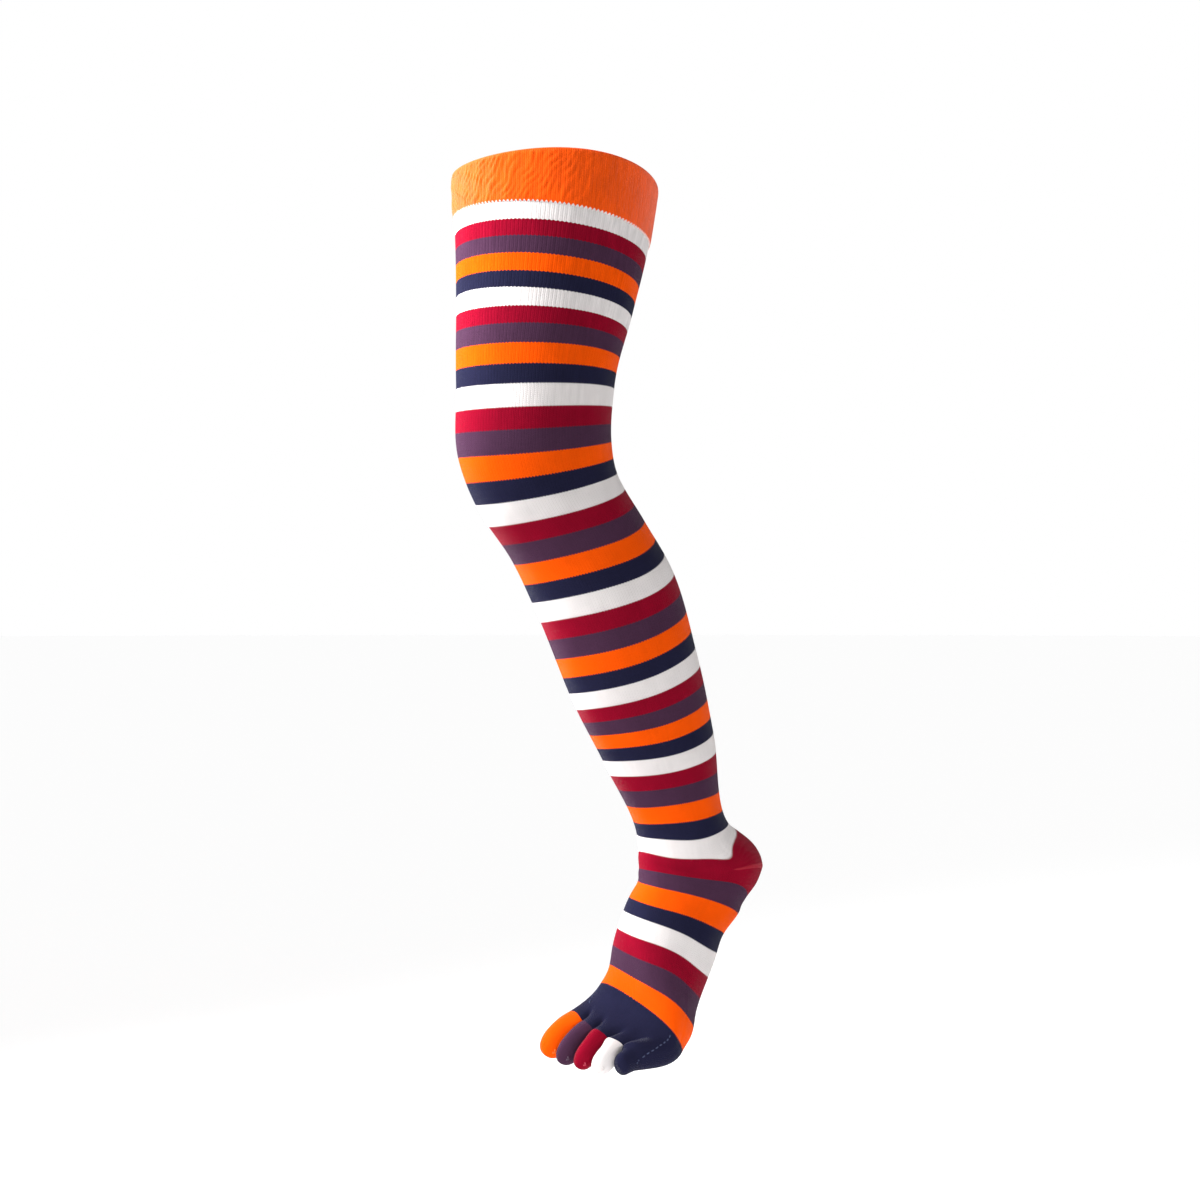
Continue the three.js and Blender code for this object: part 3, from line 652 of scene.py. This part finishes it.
# Heel. A pocket of crimson yarn knitted to and fro in short rows, with the band over the
# instep in the same yarn; the turns of the short rows leave a gore line at each side.
crimson_knit = knit_fabric("crimson_knit", CRIMSON_YARN)
crimson_reverse = knit_fabric("crimson_reverse", CRIMSON_YARN, purl=True)
GORE_YARN = (0.30, 0.016, 0.030, 1.0)       # the same yarn, drawn thin at the turns
gore_knit = knit_fabric("gore_knit", GORE_YARN, sheen=0.2)
HEEL_ROWS = 48
HEEL_RIDGE = 0.00012
GORE_RISE = 0.0005
GORE_COURSE = 460.3
GORE_WIDTH = 0.6                # in courses
GORE_START = math.radians(97)   # from the front to the back
GORE_END = math.radians(170)
GORE_FADE = math.radians(9)


def gore_at(down, turn):
    """1 on the gore line at each side of the heel, 0 off it."""
    to_side = np.arccos(np.clip(np.cos(turn), -1, 1))
    along = (np.clip((to_side - GORE_START) / GORE_FADE, 0, 1)
             * np.clip((GORE_END - to_side) / GORE_FADE, 0, 1))
    return along * np.exp(-((down - GORE_COURSE) / GORE_WIDTH) ** 2)


knitted_tube("sock_heel", HEEL_START, HEEL_END, HEEL_ROWS,
             lambda down: np.full_like(down, HEEL_RIDGE),
             [crimson_knit, crimson_reverse, gore_knit], ["heel"],
             gore_at, GORE_RISE)


# Foot. The striped tube goes on from the heel over the instep and the sole to the ball,
# where it turns outward with the toes.
FOOT_ROWS = 54
FOOT_RIDGE = 0.00012
RIDGE_FADE = 12                 # courses before the toe box, whose knit is smooth
knitted_tube("sock_foot", HEEL_END, BALL_COURSE, FOOT_ROWS,
             lambda down: FOOT_RIDGE * np.clip((BALL_COURSE - down) / RIDGE_FADE, 0, 1),
             [striped_knit, striped_reverse], ["foot"])


# Toe box and toes. The navy end of the foot splits into five knitted fingers, each in its
# own yarn. Neighbours share the web between them, and each is closed at its tip by a few
# stitches; a seam of lighter thread runs along the outer side to the end of the little toe.
TOE_YAW = math.radians(10)
TOE_PITCH = math.radians(20)
TOE_TWIST = math.radians(16)
# Root and bend of each toe from the middle of the ball, to the side in widths of the ball,
# ahead in lengths of the foot, up in heights of the ball; its own sizes in those of the ball
TOE_NAMES = ["rootSide", "rootAhead", "rootRise", "rootWidth", "rootHeight", "tipSide", "tipAhead",
             "tipRise", "width", "height"]
TOES = [dict(zip(TOE_NAMES, row)) for row in (
    [-0.352, 0.174, 0.06, 0.268, 0.38, -0.395, 0.272, -0.16, 0.268, 0.45],
    [-0.128, 0.203, 0.115, 0.185, 0.37, -0.152, 0.294, -0.125, 0.185, 0.45],
    [0.049, 0.203, 0.1, 0.18, 0.37, 0.034, 0.277, -0.11, 0.18, 0.38],
    [0.225, 0.191, 0.045, 0.18, 0.35, 0.22, 0.257, -0.1, 0.18, 0.385],
    [0.385, 0.172, -0.035, 0.2, 0.46, 0.39, 0.214, -0.03, 0.17, 0.37],
)]
TOE_COLUMNS = 48
SIDE_COLUMNS = TOE_COLUMNS // 4     # columns to the top, to each side and to the sole of a toe
BOX_ROWS = 28
BOX_COURSES = 34
TOE_COURSES = 30
TOE_WALES = 36
ROOT_TAPER = 0.7                # how far the taper of its root reaches
TOE_CURL = 0.4                  # where a toe starts to bend down, as a share of its length
CREASE_START = 0.4              # where the creases between the toes start on the box
WEB_REACH = 0.42                # how far the webs draw the sides of the toes together
TOE_STRAIGHT = 0.55             # where the round end of a toe starts
TOE_END_POWER = 2.6             # 2 would be half an egg, more is blunter
TOE_STRAIGHT_RINGS = 16
TOE_END_RINGS = 15
TOE_FULLNESS = 1.03
BALL_SHIFT = -0.017             # of the toes against the ball, to the side, in foot lengths
CORNER_PULL = 1.6               # how soon the pull of a web dies out over a toe
CREASE_SPREAD = 7               # columns either side that smooth the line of the roots
SIDE_BLEND = 8                  # columns over which the box's smooth line meets its sides
TAPER_SPREAD = 4                # columns either side that smooth the little toe's taper

ahead, out, over = Vector((0, -1, 0)), Vector((1, 0, 0)), Vector((0, 0, 1))
for axis_name, turn in (("up", TOE_YAW), ("out", TOE_PITCH), ("ahead", -TOE_TWIST)):
    axis = {"up": Vector((0, 0, 1)), "out": out, "ahead": ahead}[axis_name].copy()
    swing = Matrix.Rotation(turn, 3, axis)
    ahead, out, over = swing @ ahead, swing @ out, swing @ over
TOE_AHEAD, TOE_OUT, TOE_OVER = (np.array(v) for v in (ahead, out, over))
ball = dict(zip(SECTION_NAMES, SECTION_TABLE[-1]))
BALL_CENTRE = np.array([ball["side"] + BALL_SHIFT * FOOT_LENGTH, ball["back"], -ball["drop"]])


def toe_frame_point(side, forward, rise):
    """A point beside, ahead of and over the middle of the ball, along the toes."""
    return (BALL_CENTRE + TOE_OUT * side * BALL_WIDTH + TOE_AHEAD * forward * FOOT_LENGTH
            + TOE_OVER * rise * BALL_HEIGHT)


def fade(x):
    """1 at 0 and 0 from 1 on, smooth at both ends."""
    x = np.clip(x, 0, 1)
    return 1 - x * x * (3 - 2 * x)


def toe_ring(toe, along, size):
    """Points round a toe at a share of its length, from its inner upper side outward."""
    root = toe_frame_point(toe["rootSide"], toe["rootAhead"], toe["rootRise"])
    bend = toe_frame_point(toe["tipSide"], toe["tipAhead"], toe["tipRise"])
    tip = bend + (bend - root) / np.linalg.norm(bend - root) * toe["width"] * BALL_WIDTH / 2
    knuckle = root + TOE_AHEAD * TOE_CURL * np.linalg.norm(tip - root)
    centre = (1 - along) ** 2 * root + 2 * along * (1 - along) * knuckle + along ** 2 * tip
    forward = (1 - along) * (knuckle - root) + along * (tip - knuckle)
    forward /= np.linalg.norm(forward)
    side = TOE_OUT - forward * TOE_OUT.dot(forward)
    side /= np.linalg.norm(side)
    rise = np.cross(forward, side)
    share = 1 - max(0.0, 1 - along / ROOT_TAPER) ** 2
    width = (toe["rootWidth"] + (toe["width"] - toe["rootWidth"]) * share) * BALL_WIDTH
    height = (toe["rootHeight"] + (toe["height"] - toe["rootHeight"]) * share) * BALL_HEIGHT
    angle = np.arange(TOE_COLUMNS) * 2 * math.pi / TOE_COLUMNS - math.pi / 4
    return (centre + np.outer(np.sin(angle), side) * width / 2 * size
            + np.outer(np.cos(angle), rise) * height / 2 * size)


# What moves each root ring onto the middle of its webs, eased off over its top and its sole
root_rings = [toe_ring(toe, 0.0, 1.0) for toe in TOES]
web_pull = [np.zeros((TOE_COLUMNS, 3)) for toe in TOES]
for n in range(len(TOES) - 1):
    for step in range(SIDE_COLUMNS + 1):
        own, neighbour = SIDE_COLUMNS + step, -step % TOE_COLUMNS
        middle = (root_rings[n][own] + root_rings[n + 1][neighbour]) / 2
        web_pull[n][own] = middle - root_rings[n][own]
        web_pull[n + 1][neighbour] = middle - root_rings[n + 1][neighbour]
for pull in web_pull:
    corners = {corner: pull[corner * SIDE_COLUMNS].copy() for corner in range(4)}
    for step in range(1, SIDE_COLUMNS):
        near = fade(step / SIDE_COLUMNS * CORNER_PULL)
        far = fade((1 - step / SIDE_COLUMNS) * CORNER_PULL)
        pull[step] = corners[0] * near + corners[1] * far
        pull[2 * SIDE_COLUMNS + step] = corners[2] * near + corners[3] * far
root_rings = [ring + pull for ring, pull in zip(root_rings, web_pull)]


def toe_of_column(j):
    """Toe, and point of its ring, that a column of the toe box runs into."""
    last = len(TOES) - 1
    if j < (last + 1) * SIDE_COLUMNS:
        return j // SIDE_COLUMNS, j % SIDE_COLUMNS
    j -= (last + 1) * SIDE_COLUMNS
    if j < SIDE_COLUMNS:
        return last, SIDE_COLUMNS + j
    j -= SIDE_COLUMNS
    if j < (last + 1) * SIDE_COLUMNS:
        return last - j // SIDE_COLUMNS, 2 * SIDE_COLUMNS + j % SIDE_COLUMNS
    return 0, j - (last + 1) * SIDE_COLUMNS + 3 * SIDE_COLUMNS


SEAM_RADIUS = 0.0006
THREAD_SIDES = 6
THREAD_RINGS = 6
THREAD_SUNK = 0.7               # at its ends, in radii of the thread
THREAD_HUMP = 1.3               # from there to its middle


def on_grid(grid, row, column):
    """A value between the points of a grid of rows, each row a closed ring."""
    i, j = min(int(row), len(grid) - 2), int(column)
    down, across = row - i, column - j
    near, far = j % grid.shape[1], (j + 1) % grid.shape[1]
    return ((grid[i, near] * (1 - across) + grid[i, far] * across) * (1 - down)
            + (grid[i + 1, near] * (1 - across) + grid[i + 1, far] * across) * down)


def thread_rings(path, rise, radius):
    """Rings round a short run of thread that dives into the cloth at both ends."""
    rings = []
    count = len(path)
    for i, point in enumerate(path):
        share = math.sin(math.pi * (i + 0.5) / count)       # 0 where the thread dives in
        along = path[min(i + 1, count - 1)] - path[max(i - 1, 0)]
        along /= np.linalg.norm(along)
        up = rise[i] / np.linalg.norm(rise[i])
        side = np.cross(along, up)
        centre = point + up * radius * (THREAD_HUMP * share - THREAD_SUNK)
        turn = np.arange(THREAD_SIDES) * 2 * math.pi / THREAD_SIDES
        rings.append(centre + radius * (0.5 + 0.5 * share)
                     * (np.outer(np.cos(turn), up) + np.outer(np.sin(turn), side)))
    return np.array(rings)


def glove_piece(name, rows, uv_rows, closed, materials, nodes, threads, thread_radius):
    """A part of the glove end: its rows of points outside, a wall inside them, its rims, and
    the threads sewn on it, each a run of row and column numbers."""
    outside = np.asarray(rows)
    row_count, column_count = outside.shape[:2]
    down = np.gradient(outside, axis=0)
    ahead_of, behind = np.roll(outside, -1, axis=1), np.roll(outside, 1, axis=1)
    normals = np.cross(down, ahead_of - behind)
    normals /= np.linalg.norm(normals, axis=-1, keepdims=True)
    inside = outside - normals * KNIT_WALL
    if closed:
        inside[-1] = inside[-2] * 0.5 + inside[-2].mean(axis=0) * 0.5
    vertices = np.concatenate([outside.reshape(-1, 3), inside.reshape(-1, 3)])
    shift = row_count * column_count
    j = np.arange(column_count)
    k = (j + 1) % column_count
    wales, courses = uv_rows
    right_wales = wales + wales[1]
    faces, knit_uv = [], []
    for i in range(row_count - 1):
        upper, lower = i * column_count, (i + 1) * column_count
        faces += np.stack([upper + j, lower + j, lower + k, upper + k], -1).tolist()
        a, b = np.full(column_count, courses[i]), np.full(column_count, courses[i + 1])
        corners = [(wales, a), (wales, b), (right_wales, b), (right_wales, a)]
        knit_uv.append(np.stack([np.stack(corner, -1) for corner in corners], 1).reshape(-1, 2))
    skins = [0] * len(faces)
    for i in range(row_count - 1):
        upper, lower = shift + i * column_count, shift + (i + 1) * column_count
        faces += np.stack([lower + j, upper + j, upper + k, lower + k], -1).tolist()
        a, b = np.full(column_count, courses[i]), np.full(column_count, courses[i + 1])
        corners = [(wales, b), (wales, a), (right_wales, a), (right_wales, b)]
        knit_uv.append(np.stack([np.stack(corner, -1) for corner in corners], 1).reshape(-1, 2))
    rims = [(0, 0)] if closed else [(0, 0), (row_count - 1, 1)]
    for row, end in rims:
        outer, inner = row * column_count, shift + row * column_count
        course = np.full(column_count, courses[row])
        if end:
            faces += np.stack([outer + j, inner + j, inner + k, outer + k], -1).tolist()
        else:
            faces += np.stack([inner + j, outer + j, outer + k, inner + k], -1).tolist()
        corners = [(wales, course), (wales, course), (right_wales, course), (right_wales, course)]
        knit_uv.append(np.stack([np.stack(corner, -1) for corner in corners], 1).reshape(-1, 2))
    if closed:
        outer, inner = (row_count - 1) * column_count, shift + (row_count - 1) * column_count
        faces.append((outer + j)[::-1].tolist())
        knit_uv.append(np.stack([wales, np.full(column_count, courses[-1])], -1)[::-1])
        faces.append((inner + j).tolist())
        knit_uv.append(np.stack([wales, np.full(column_count, courses[-1])], -1))
    skins += [1] * (len(faces) - len(skins))
    if closed:
        skins[-2] = 0
    for run in threads:
        path = np.array([on_grid(outside, row, column) for row, column in run])
        rise = np.array([on_grid(normals, row, column) for row, column in run])
        rings = thread_rings(path, rise, thread_radius)
        first = len(vertices)
        vertices = np.concatenate([vertices, rings.reshape(-1, 3)])
        for i in range(len(rings) - 1):
            ring, following = first + i * THREAD_SIDES, first + (i + 1) * THREAD_SIDES
            faces += ring_faces(ring, following, THREAD_SIDES)[:, ::-1].tolist()
        knit_uv.append(np.zeros(((len(rings) - 1) * THREAD_SIDES * 4, 2)))
        skins += [2] * ((len(rings) - 1) * THREAD_SIDES)
    return new_piece(name, vertices.tolist(), faces, np.concatenate(knit_uv), skins,
                     materials, nodes)


BOX_COLUMNS = 3 * TOE_COLUMNS
box_angle = FRONT_SEAM + np.arange(BOX_COLUMNS) * 2 * math.pi / BOX_COLUMNS
ball_ring = tube_point(np.full(BOX_COLUMNS, float(BALL_COURSE)), box_angle)
wale_run = ball_ring - tube_point(np.full(BOX_COLUMNS, BALL_COURSE - 1.0), box_angle)
wale_run /= np.linalg.norm(wale_run, axis=-1, keepdims=True)


def smoothed(ring, spread):
    """The points of a closed ring, each the mean of those on either side of it."""
    shifts = range(-spread, spread + 1)
    return sum(np.roll(ring, shift, axis=0) for shift in shifts) / len(shifts)


root_line = []
for j in range(BOX_COLUMNS):
    toe_number, point = toe_of_column(j)
    root_line.append(root_rings[toe_number][point])
root_line = np.array(root_line)
smooth_line = smoothed(root_line, CREASE_SPREAD)
for side_start in (len(TOES) * SIDE_COLUMNS, BOX_COLUMNS - SIDE_COLUMNS):
    for step in range(-SIDE_BLEND, SIDE_COLUMNS + SIDE_BLEND + 1):
        j = (side_start + step) % BOX_COLUMNS
        from_end = min(step + SIDE_BLEND, SIDE_COLUMNS + SIDE_BLEND - step)
        keep = np.clip(from_end / SIDE_BLEND, 0, 1)
        smooth_line[j] += (root_line[j] - smooth_line[j]) * keep
crease = root_line - smooth_line

# The box runs on straight ahead into its toes, and into the little toe on the taper of its root
run_on = np.tile(TOE_AHEAD, (BOX_COLUMNS, 1))
small_step = 0.02
taper = toe_ring(TOES[-1], small_step, 1.0) - toe_ring(TOES[-1], 0.0, 1.0)
taper /= np.linalg.norm(taper, axis=-1, keepdims=True)
for j in range(BOX_COLUMNS):
    toe_number, point = toe_of_column(j)
    if toe_number == len(TOES) - 1:
        run_on[j] = taper[point]
run_on = smoothed(run_on, TAPER_SPREAD)

# The dents behind the webs, over the top of the box: column, spread in columns, depth, and
# where it starts between the ball and the toes
DENTS = [
    (12, 1.8, 0.0015, 0.56),
    (24, 1.8, 0.0017, 0.56),
    (36, 2.2, 0.0017, 0.56),
    (48, 4.4, 0.0018, 0.36),
]
box_column = np.arange(BOX_COLUMNS)
span = np.linalg.norm(smooth_line - ball_ring, axis=-1, keepdims=True)
box_rows = []
for i in range(BOX_ROWS + 1):
    t = i / BOX_ROWS
    ring = ((2 * t ** 3 - 3 * t ** 2 + 1) * ball_ring
            + (t ** 3 - 2 * t ** 2 + t) * span * wale_run
            + (3 * t ** 2 - 2 * t ** 3) * smooth_line
            + (t ** 3 - t ** 2) * span * run_on
            + crease * (1 - fade((t - CREASE_START) / (1 - CREASE_START))) * t)
    for column, spread, depth, start in DENTS:
        push = depth * math.sin(math.pi * max(0.0, (t - start) / (1 - start))) ** 2
        dent = np.exp(-((box_column - column) / spread) ** 2)
        ring = ring - np.outer(dent, TOE_OVER) * push
    box_rows.append(ring)
navy_knit = knit_fabric("navy_knit", NAVY_YARN)
navy_reverse = knit_fabric("navy_reverse", NAVY_YARN, purl=True)
SEAM_COLOUR = (0.055, 0.065, 0.12, 1.0)
seam_thread = knit_fabric("seam_thread", SEAM_COLOUR, purl=True)
# Rows and columns of the box that the seams pass, on its outer and its inner side
SEAM_COURSE = [[3, 54.5], [10, 57.5], [18, 61.5], [27, 64.5]]
INNER_SEAM = [[4, 8], [11, 6], [17, 8]]
SEAM_STITCHES = 8
INNER_STITCHES = 3
SEAM_GAP = 0.35                 # between two stitches, as a share of both


def seam_runs(course, stitches):
    """Stitches along a seam: each a run of rows and columns, with gaps between."""
    course = np.array(course, float)
    rows = np.linspace(course[0, 0], course[-1, 0], stitches + 1)
    runs = []
    for start, end in zip(rows[:-1], rows[1:]):
        row = np.linspace(start, end - SEAM_GAP * (end - start), THREAD_RINGS)
        runs.append(list(zip(row, np.interp(row, course[:, 0], course[:, 1]))))
    return runs


glove_piece("sock_toe_box", box_rows,
            (np.arange(BOX_COLUMNS) * WALES / BOX_COLUMNS,
             np.linspace(BALL_COURSE, BALL_COURSE + BOX_COURSES, BOX_ROWS + 1)),
            False, [navy_knit, navy_reverse, seam_thread], ["toe_box"],
            seam_runs(SEAM_COURSE, SEAM_STITCHES) + seam_runs(INNER_SEAM, INNER_STITCHES),
            SEAM_RADIUS)


def toe_rows(n):
    """The rings of a toe from its root to its end, and their places along it."""
    stations = list(np.linspace(0, TOE_STRAIGHT, TOE_STRAIGHT_RINGS))
    sizes = [1.0] * TOE_STRAIGHT_RINGS
    for step in range(1, TOE_END_RINGS):
        turn = math.pi / 2 * step / TOE_END_RINGS
        end_share = math.sin(turn) ** (2 / TOE_END_POWER)
        stations.append(TOE_STRAIGHT + (1 - TOE_STRAIGHT) * end_share)
        sizes.append(math.cos(turn) ** (2 / TOE_END_POWER))
    rows = []
    for along, size in zip(stations, sizes):
        near_web = fade(along / WEB_REACH)
        fullness = 1 + (TOE_FULLNESS - 1) * (1 - near_web)
        rows.append(toe_ring(TOES[n], along, size * fullness) + web_pull[n] * near_web)
    return rows, stations


orange_knit = knit_fabric("orange_knit", ORANGE_YARN)
purple_knit = knit_fabric("purple_knit", PURPLE_YARN)
purple_reverse = knit_fabric("purple_reverse", PURPLE_YARN, purl=True)
white_knit = knit_fabric("white_knit", WHITE_YARN)
white_reverse = knit_fabric("white_reverse", WHITE_YARN, purl=True)
# The closing stitches lie over the knit and catch more light, so their yarn is painted a shade
# paler than the toe's: a painted highlight
ORANGE_THREAD = (0.85, 0.16, 0.03, 1.0)
LILAC_THREAD = (0.11, 0.07, 0.105, 1.0)
PINK_THREAD = (0.42, 0.045, 0.075, 1.0)
orange_thread = knit_fabric("orange_thread", ORANGE_THREAD, purl=True)
lilac_thread = knit_fabric("lilac_thread", LILAC_THREAD, purl=True)
pink_thread = knit_fabric("pink_thread", PINK_THREAD, purl=True)
# Name, slot, face, reverse and thread of each toe
TOE_LOOKS = [
    ("big_toe", "orange_knit", orange_knit, orange_reverse, orange_thread),
    ("second_toe", "purple_knit", purple_knit, purple_reverse, lilac_thread),
    ("third_toe", "crimson_knit", crimson_knit, crimson_reverse, pink_thread),
    ("fourth_toe", "white_knit", white_knit, white_reverse, white_knit),
    ("little_toe", "navy_knit", navy_knit, navy_reverse, seam_thread),
]
LITTLE_TOE_SEAM = [[0.5, 16.5], [7, 18.5]]      # the outer seam runs on over it
LITTLE_TOE_STITCHES = 2
CLOSING_RADIUS = 0.0008
CLOSING = [(19.5, 13.6), (20.2, 14.6), (20.9, 13.8)]    # row and column of a toe's last stitches
CLOSING_RUN = (0.16, 0.22)      # rows and columns from ring to ring of such a stitch
toe_wales = np.arange(TOE_COLUMNS) * TOE_WALES / TOE_COLUMNS
for n, (toe_name, slot, face, reverse, thread) in enumerate(TOE_LOOKS):
    rows, stations = toe_rows(n)
    toe_courses = np.array(stations) * TOE_COURSES + BALL_COURSE + BOX_COURSES
    if thread is seam_thread:
        runs, radius = seam_runs(LITTLE_TOE_SEAM, LITTLE_TOE_STITCHES), SEAM_RADIUS
    else:
        runs, radius = [], CLOSING_RADIUS
        for row, column in CLOSING:
            runs.append([(row + CLOSING_RUN[0] * step, column + CLOSING_RUN[1] * step)
                         for step in range(THREAD_RINGS)])
    glove_piece("sock_" + toe_name, rows, (toe_wales, toe_courses), True,
                [face, reverse, thread], [toe_name], runs, radius)
